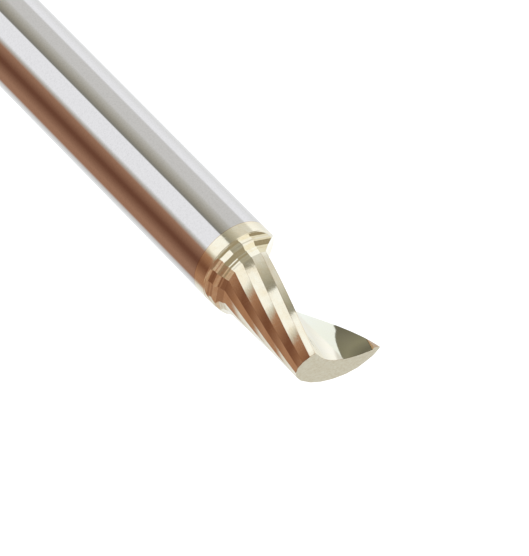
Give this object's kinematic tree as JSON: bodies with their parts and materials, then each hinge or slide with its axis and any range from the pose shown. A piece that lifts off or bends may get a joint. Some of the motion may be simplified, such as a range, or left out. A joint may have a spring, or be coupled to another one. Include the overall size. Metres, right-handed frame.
{
  "type": "router bit",
  "caption": "Spiral O-flute router bit: straight round shank, facet-ground spiral head with one open flute and one cutting edge, slanted end face.",
  "frame": {"origin": "centre of the shank's flat rear end, where the bit stands", "axes": "+Z along the axis towards the cutting tip; +X through the cutting corner at the tip"},
  "size_m": [0.0064, 0.0064, 0.0508],
  "materials": {
    "carbide": "polished shank, pale gold coating with ground stripes on the head"
  },
  "bodies": {
    "root": {"router_bit": "carbide"}
  },
  "joints": []
}
